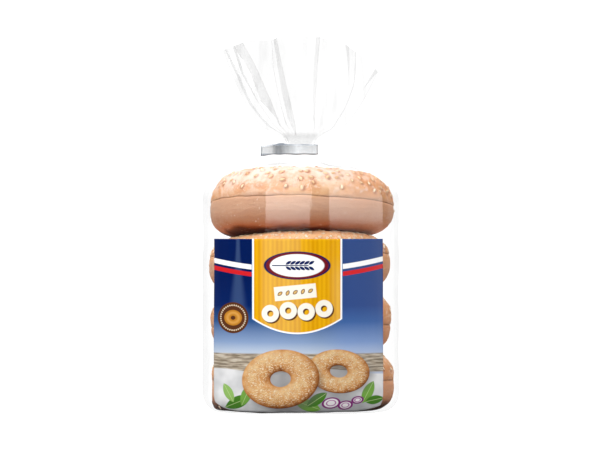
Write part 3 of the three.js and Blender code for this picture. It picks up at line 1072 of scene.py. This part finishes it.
def plate_and_tag(art):
    """A white oval with a wheat ear, and a tilted cream tag with seeds on it."""
    oval = art.ellipse(YELLOW_MIDDLE, PLATE_HEIGHT, 16.4, 6.9)
    art.paint(oval, NAVY, 0.5)
    art.paint(oval, DARK_RED, 0.0)
    art.paint(oval, WHITE, -0.9)
    wheat_ear(art, YELLOW_MIDDLE - 3.6, PLATE_HEIGHT)
    x, z = TAG
    art.paint(art.box(x, z, 11.0, 3.7, 0.2, TAG_TURN), CREAM)
    for k in range(-2, 3):
        along = TAG_STEP * k
        seed = art.leaf(x + along, z + along * rise_by(TAG_TURN), 3.2, 1.9, 62 if k % 2 else 38)
        art.paint(seed, BROWN, soft=0.1)
        art.paint(seed, (240, 196, 120), -0.35, soft=0.1)


def row_of_rings(art):
    """Four cream rings with a brown shadow, in a rising row."""
    for drop, half, colour, soft in ((0.65, 1.55, BROWN, 0.25), (0.0, 1.45, CREAM, 0.16)):
        for k in range(4):
            x = YELLOW_MIDDLE - 14.1 + 9.4 * k + drop
            z = 53.4 + 0.5 * k + 1.1 * (k % 2) - drop
            art.paint(art.ring(art.ellipse(x, z, 3.1, 3.1), half), colour, soft=soft)


def badge(art):
    """A brown disc with a ring of cream dots round a golden one."""
    x, z = BADGE
    art.paint(art.ellipse(x, z, 8.2, 8.2), BROWN)
    a, b = art.at(x, z)
    step = 2 * math.pi / BADGE_DOTS
    turn = art.s.math("ARCTAN2", b, a)
    along = (art.s.math("PINGPONG", turn, step / 2) - step / 4) * DOT_RING
    dots = art.length(along, art.length(a, b) - DOT_RING) - 0.42
    art.paint(dots, (236, 214, 184), soft=0.1)
    gold = art.ring(art.ellipse(x, z, 3.0, 2.6), 1.5)
    art.paint(gold, (206, 136, 44))
    art.paint(gold, (228, 166, 78), -0.9, soft=0.5)


def painted_ring(art, x, z, radius, hole, squash, turn):
    """A seeded bread ring seen from above at a slant, lit from the upper left, with its shadow."""
    s = art.s
    shadow = art.ellipse(x + 1.6, z - 2.2, radius, radius * squash)
    art.paint(shadow, (96, 92, 92), soft=2.4, most=0.6)
    a, b = art.at(x, z, turn)
    rise = b / squash
    out = art.length(a, rise)
    half = (radius - hole) / 2
    across = (out - (hole + half)) / half
    off_middle = abs(across)
    lit = (a * -0.45 + rise * 0.8) / out * across * 0.32 + off_middle**3.0 * -0.34 + 0.62
    lit = lit + (art.noise(0.34, detail=4.0) - 0.5) * 0.5

    spot = s.node("CombineXYZ", ((0, a + art.noise(0.5) * 3.0), (1, rise * 1.5)))
    inputs = (("Vector", spot), ("Scale", 0.85))
    cells = s.node("TexVoronoi", inputs, "Distance", voronoi_dimensions="2D")
    tint = s.node("SeparateColor", ((0, cells.other("Color")),))
    size = cells - tint * 0.3
    fade = s.between(off_middle, 0.5, 0.95, 1.0, 0.0)
    shade = s.stained(
        s.ramp(lit, BREAD_COLOURS),
        (s.between(size, 0.14, 0.34, 0.5, 0.0) * fade, (150, 92, 46)),
        (
            s.between(size, 0.06, 0.2, 1.0, 0.0) * fade,
            s.mix(tint.other(1), (232, 196, 140), (255, 240, 208)),
        ),
    )
    art.paint((off_middle - 1.0) * half, shade)


def lower_picture(art):
    """Bread rings, leaves and onion rings on a pale cloth, with a shelf behind them."""
    s = art.s
    art.paint(abs(art.z - 27.4) - 4.9, s.ramp(art.noise(1.1, 0.12), WOOD_COLOURS), soft=0.5)
    hem = s.math("SINE", art.x * 0.11) * 1.4 + 22.8
    art.paint(art.z - hem, s.ramp(art.noise(0.09), CLOTH_COLOURS), soft=0.3)
    art.paint(art.ellipse(9.0, 5.6, 30.0, 5.2), (150, 152, 156), soft=2.2, most=0.7)
    for x, z, length, width, turn, green in LEAVES:
        leaf = art.leaf(x, z, length, width, turn)
        art.paint(leaf, LEAF_GREENS[green])
        rib = art.most(abs(art.at(x, z, turn)[1]) - 0.12, leaf + 0.25)
        art.paint(rib, (196, 220, 150), soft=0.1)
    painted_ring(art, 20.0, 23.0, 16.4, 4.6, 0.70, -6)
    painted_ring(art, -10.5, 19.0, 20.4, 5.4, 0.76, 6)
    for x, z, radius in ONIONS:
        onion = art.ellipse(x, z, radius, radius * 0.6, 8)
        core = art.ellipse(x, z, radius * 0.55, radius * 0.33, 8)
        art.paint(onion, (248, 244, 246))
        art.paint(art.ring(onion, 0.34), (132, 46, 120), soft=0.12)
        art.paint(art.ring(core, 0.2), (176, 108, 166), soft=0.12)


def print_material():
    """The printed front: flat colours and simple shapes under a clear gloss."""
    s = material("print")
    place = s.place()
    across, _, up = s.axes(place)
    art = Art(s, across, up, sky(s, across, up))
    for part in (lower_picture, stripes_and_panel, plate_and_tag, row_of_rings, badge):
        part(art)
    ripple = s.noise(s.stretched(place, (1.0, 1.0, 0.3)), 9.0, 2.0)
    return s.finish(s.principled(
        # lighter towards the right: painted reflection
        Base_Color=s.scaled(art.colour, s.between(across, 4.0, 40.0, *PRINT_TONES)),
        Roughness=0.16, Specular_IOR_Level=0.05, Normal=s.bump(ripple, 0.3, 0.25),
    ))


def ink_back_material():
    """The back of the ink, seen through the film from inside."""
    s = material("ink_back")
    base = s.mix(s.noise(s.place(), 4.0), (214, 218, 226), (236, 238, 242))
    return s.finish(s.principled(Base_Color=base, Roughness=0.45))


# ---- strip

def strip_layer(side, apart, bend_x):
    """One of the two runs, from its free end at the left to where the right bend starts."""
    pressed = WIRE_RADIUS + STRIP_PINCH
    meet_x = -NECK_HALF_WIDTH - STRIP_KINK
    held_x = -NECK_HALF_WIDTH + 0.6
    turn = math.radians(STRIP_TAIL_TURN)
    points = []
    for share in np.linspace(1, 0.08, 12):
        out = share * STRIP_TAIL
        turned = min(1, 3 * share)
        points.append((
            meet_x - out * math.cos(turn) - side * pressed * math.sin(turn) * turned,
            side * pressed * lerp(1, math.cos(turn), turned) - out * math.sin(turn),
            -STRIP_TAIL_DROP * share,
        ))
    for share in np.linspace(0.05, 1, 10):
        y = side * lerp(pressed, apart, smoothstep(0, 1, share))
        lift = STRIP_BACK_LIFT * math.sin(math.pi * share) if side > 0 else 0.0
        points.append((lerp(meet_x + 0.4, held_x, share), y, lift))
    for share in np.linspace(0.12, 0.95, 12):
        bulge = STRIP_BULGE * math.sin(math.pi * share) if side < 0 else 0.0
        points.append((lerp(held_x, bend_x, share), side * (apart + bulge), 0))
    return points


def strip_route():
    """The strip's middle line: back end, behind the neck, the right bend and along the front."""
    apart = NECK_HALF_DEPTH + STRIP_CLEARANCE + WIRE_RADIUS
    bend_x = NECK_HALF_WIDTH + STRIP_CLEARANCE + WIRE_RADIUS - apart
    bend = [
        (bend_x + apart * math.cos(a), apart * math.sin(a), 0)
        for a in np.linspace(math.pi / 2, -math.pi / 2, 17)
    ]
    back, front = (strip_layer(side, apart, bend_x) for side in (1, -1))
    return np.array(back + bend + front[::-1])


def strip_section():
    """Heights and outward shares round the strip: a flat band with a low rib over each wire."""
    top = STRIP_HEIGHT / 2
    upper = [
        (top - EDGE_ROUNDING * (1 - math.cos(a)), STRIP_HALF_THICKNESS * math.sin(a))
        for a in np.linspace(0, math.pi / 2, 6)
    ]
    face = [
        (z, STRIP_HALF_THICKNESS + RIB_HEIGHT * math.exp(-((abs(z) - top + WIRE_RADIUS) / 0.3) ** 2))
        for z in np.linspace(top - 0.4, 0.4 - top, 17)
    ]
    outer = upper + face + [(-z, out) for z, out in upper[::-1]]
    inner = [(z, -out) for z, out in outer[1:-1]][::-1]
    return np.array(outer + inner)


def closure_strip():
    """The strip, bent round the neck and pinched shut at the left."""
    route = strip_route()
    section = strip_section()
    along = np.zeros_like(route)
    along[1:-1] = route[2:] - route[:-2]
    along[0], along[-1] = route[1] - route[0], route[-1] - route[-2]
    along[:, 2] = 0
    along /= np.linalg.norm(along, axis=1)[:, None]
    out = np.stack([along[:, 1], -along[:, 0], np.zeros(len(along))], 1)
    rings = route[:, None, :] + section[None, :, 1:] * out[:, None, :]
    rings[:, :, 2] += STRIP_MIDDLE + section[None, :, 0] + 0.12 * np.sin(route[:, :1] * 0.7)
    count = len(section)
    faces = grid_faces(len(route), count, True)
    faces.append(tuple(range(count))[::-1])
    faces.append(tuple((len(route) - 1) * count + k for k in range(count)))
    piece = mesh_object("strip", rings.reshape(-1, 3), faces, [strip_material()])
    piece.data.set_sharp_from_angle(angle=math.radians(50))
    # Painted light: a highlight along the front's middle, shade at the kink and on the back run.
    painted_light_tone = np.where(route[:, 1] > 0, STRIP_BACK_SHADE, np.interp(route[:, 0], *STRIP_PAINTED_LIGHT))
    give_attribute(piece, "painted_light_tone", np.repeat(painted_light_tone, count))
    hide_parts("closure_strip")
    return piece


def strip_material():
    """Silvered film over two wires, with fine ribs along it and a little metal sheen. Its light and
    shade are partly painted: a highlight along the front's middle, shade at the kink and on the back.
    It is darker and bluer towards its upper and lower edges.
    """
    s = material("silver_strip")
    place = s.place()
    ribs = s.noise(s.stretched(place, (0.05, 0.05, 1.0)), 0.6, 2.0)
    dents = s.noise(place, 3.0, 2.0)
    slant = s.noise(s.stretched(place, (1.0, 1.0, 0.45)), 1.6, 2.0)
    painted_light_tone = s.attribute("painted_light_tone") + (slant - 0.5) * 0.4
    base = s.ramp(painted_light_tone, ((0.0, (98, 102, 106)), (0.5, (150, 156, 160)), (1.0, (196, 202, 206))))
    from_middle = abs(s.axes(place)[2] - STRIP_MIDDLE)
    base = s.mix(s.between(from_middle, 1.8, 2.6, 0.0, 0.7), base, (112, 122, 136))
    return s.finish(s.principled(
        Base_Color=base, Metallic=0.12, Roughness=0.42, Normal=s.bump(dents + ribs * 0.5, 0.2, 0.3),
    ))


# ---- studio

def camera():
    """Level, far off and with a long lens, so that the photograph's scale holds on the bag's axis."""
    pixel = MM_PER_PIXEL * MM
    data = bpy.data.cameras.new("camera")
    data.sensor_width = SENSOR_WIDTH
    data.lens = CAMERA_DISTANCE / pixel * SENSOR_WIDTH / PHOTO_WIDTH
    data.clip_end = 200.0
    made = placed("camera", data)
    x = (PHOTO_WIDTH / 2 - AXIS_PIXEL[0]) * pixel
    z = (AXIS_PIXEL[1] - PHOTO_HEIGHT / 2) * pixel
    made.location = (x, -CAMERA_DISTANCE, z)
    made.rotation_euler = (math.pi / 2, 0, 0)
    bpy.context.scene.camera = made


def softbox(name, turn, raised, distance, size, radiance, gloss_only):
    """A rectangular light that faces the bag: turn is degrees to the right of the camera's side."""
    data = bpy.data.lights.new(name, "AREA")
    data.shape = "RECTANGLE"
    data.size, data.size_y = size
    data.energy = radiance * math.pi * size[0] * size[1]
    made = placed(name, data)
    a, e = math.radians(turn), math.radians(raised)
    away = Vector((math.sin(a) * math.cos(e), -math.cos(a) * math.cos(e), math.sin(e)))
    made.location = LIGHT_AIM + away * distance
    made.rotation_euler = away.to_track_quat("Z", "Y").to_euler()
    made.visible_camera = False
    made.visible_glossy = gloss_only
    made.visible_diffuse = not gloss_only


def world():
    """White behind the bag. It is lit from a sky that is brighter overhead, and gloss sees a room
    that is grey on the camera's side and white behind the bag."""
    s = Nodes(bpy.data.worlds.new("studio"), "OutputWorld")
    _, behind, up = s.axes(s.node("TexCoord", output="Generated"))
    by_light = s.between(up, 0.15, 0.85, *SKY)
    around = s.between(behind, 0.45, 0.9, *GLOSS_AROUND)
    by_gloss = s.math("MAXIMUM", around, s.between(up, 0.2, 0.7, 0.0, GLOSS_ABOVE))
    strength = lerp(by_light, by_gloss, s.node("LightPath", output="Is Glossy Ray"))
    strength = lerp(strength, BACKDROP, s.node("LightPath", output="Is Camera Ray"))
    inputs = (("Color", (1, 1, 1, 1)), ("Strength", strength))
    bpy.context.scene.world = s.finish(s.node("Background", inputs))


def floor():
    """A plain floor that runs far back, as white to the camera as the backdrop."""
    s = material("floor")
    colour = (FLOOR_ALBEDO, FLOOR_ALBEDO, FLOOR_ALBEDO, 1)
    plain = s.principled(Base_Color=colour, Roughness=0.9, Specular_IOR_Level=0.0)
    white = s.node("Emission", (("Strength", BACKDROP),))
    by_camera = s.node("LightPath", output="Is Camera Ray")
    surface = s.finish(s.blend(by_camera, plain, white))
    corners = np.array([(-1, -1, 0), (1, -1, 0), (1, 1, 0), (-1, 1, 0)]) * FLOOR_HALF / MM
    piece = mesh_object("floor", corners, [(0, 1, 2, 3)], [surface], smooth=False)


def studio():
    """Camera, backdrop, floor and lights."""
    camera()
    world()
    floor()
    for lights, gloss_only in ((SOFTBOXES, False), (REFLECTIONS, True)):
        for light in lights:
            softbox(*light, gloss_only)
    scene = bpy.context.scene
    scene.view_settings.view_transform = "Standard"
    scene.cycles.transparent_max_bounces = 48
    scene.cycles.max_bounces = 10


# ---- the whole

studio()
pieces = [film_bag(), print_sheet(), closure_strip()]
bagels = []
baked = [crust_material(), crumb_material()]
for bagel in BAGELS:
    halves = bagel_half(bagel, True, baked) + bagel_half(bagel, False, baked)
    bagels.append((bagel, *halves))
    pieces += [halves[0], halves[2]]
pieces.append(sesame_seeds(bagels))
for piece in pieces:
    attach(piece, "root")

bpy.context.view_layer.update()
